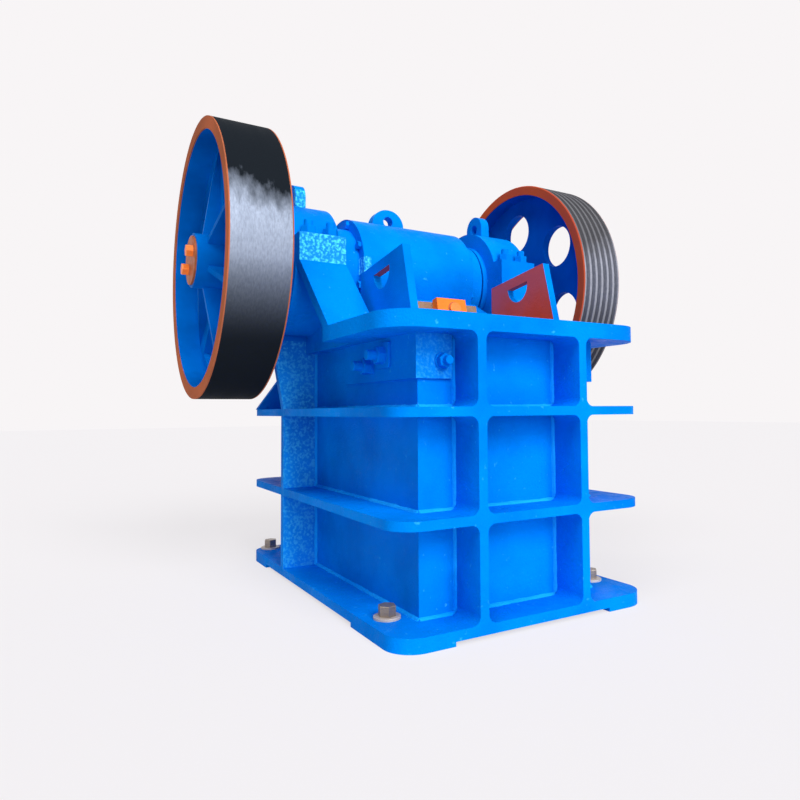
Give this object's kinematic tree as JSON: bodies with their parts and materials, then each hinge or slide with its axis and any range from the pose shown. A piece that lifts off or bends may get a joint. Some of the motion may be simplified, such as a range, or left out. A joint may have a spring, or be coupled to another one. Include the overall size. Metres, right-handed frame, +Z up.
{
  "type": "jaw crusher",
  "caption": "Single-toggle jaw crusher: ribbed box frame, swing jaw on an eccentric shaft between two bearings, flywheel on one side and V-belt pulley on the other.",
  "frame": {"origin": "ground level, at the centre of the four foundation bolt holes", "axes": "+X along the shaft from the flywheel to the pulley, -Y towards the feed side, +Z up"},
  "size_m": [1.791, 1.7093, 1.83],
  "materials": {
    "blue_paint": "glossy blue enamel over rough castings and welds",
    "red_primer": "dull red primer",
    "orange_paint": "orange enamel",
    "jaw_plate_steel": "as-cast manganese steel, lightly rusted",
    "bare_steel": "machined steel",
    "flywheel_iron": "turned black rim face, rusty side face, blue paint inside",
    "pulley_iron": "turned grey grooves, rusty side face, blue paint inside",
    "bolt_steel": "black bolts with light rust"
  },
  "bodies": {
    "frame": {"front_wall": "blue_paint", "left_side_wall": "blue_paint", "right_side_wall": "blue_paint", "rear_wall": "blue_paint", "base_flange": "blue_paint", "lower_band": "blue_paint", "upper_band": "blue_paint", "top_flange": "blue_paint", "front_ribs": "blue_paint", "rear_ribs": "blue_paint", "left_side_ribs": "blue_paint", "right_side_ribs": "blue_paint", "left_corner_pad": "blue_paint", "right_corner_pad": "blue_paint", "left_bearing_seat": "blue_paint", "right_bearing_seat": "blue_paint", "left_bearing_cap": "blue_paint", "right_bearing_cap": "blue_paint", "left_bearing": "bare_steel", "right_bearing": "bare_steel", "left_inner_cover": "blue_paint", "right_inner_cover": "blue_paint", "left_outer_cover": "blue_paint", "right_outer_cover": "blue_paint", "fixed_jaw_plate": "jaw_plate_steel", "left_cheek_plate": "red_primer", "right_cheek_plate": "red_primer", "toggle_plate": "bare_steel", "toggle_seat": "bare_steel", "adjusting_block": "bare_steel", "spring_tube": "blue_paint"},
    "shaft": {"eccentric_shaft": "bare_steel", "flywheel": "flywheel_iron", "pulley": "pulley_iron", "flywheel_end_plate": "orange_paint", "pulley_end_plate": "orange_paint"},
    "jaw": {"swing_jaw": "blue_paint", "left_jaw_ring": "blue_paint", "right_jaw_ring": "blue_paint", "swing_jaw_plate": "jaw_plate_steel", "clamp_block": "orange_paint", "tension_rod": "bare_steel", "tension_spring": "bare_steel", "spring_washer": "bare_steel"}
  },
  "joints": [
    {"name": "shaft_spin", "type": "hinge", "parent": "frame", "child": "shaft", "pos_m": [0, 0.147, 1.29], "axis": [1, 0, 0], "continuous": true},
    {"name": "jaw_swing", "type": "hinge", "parent": "frame", "child": "jaw", "pos_m": [0, 0.147, 1.29], "axis": [-1, 0, 0], "range_deg": [0, 1.2]}
  ]
}
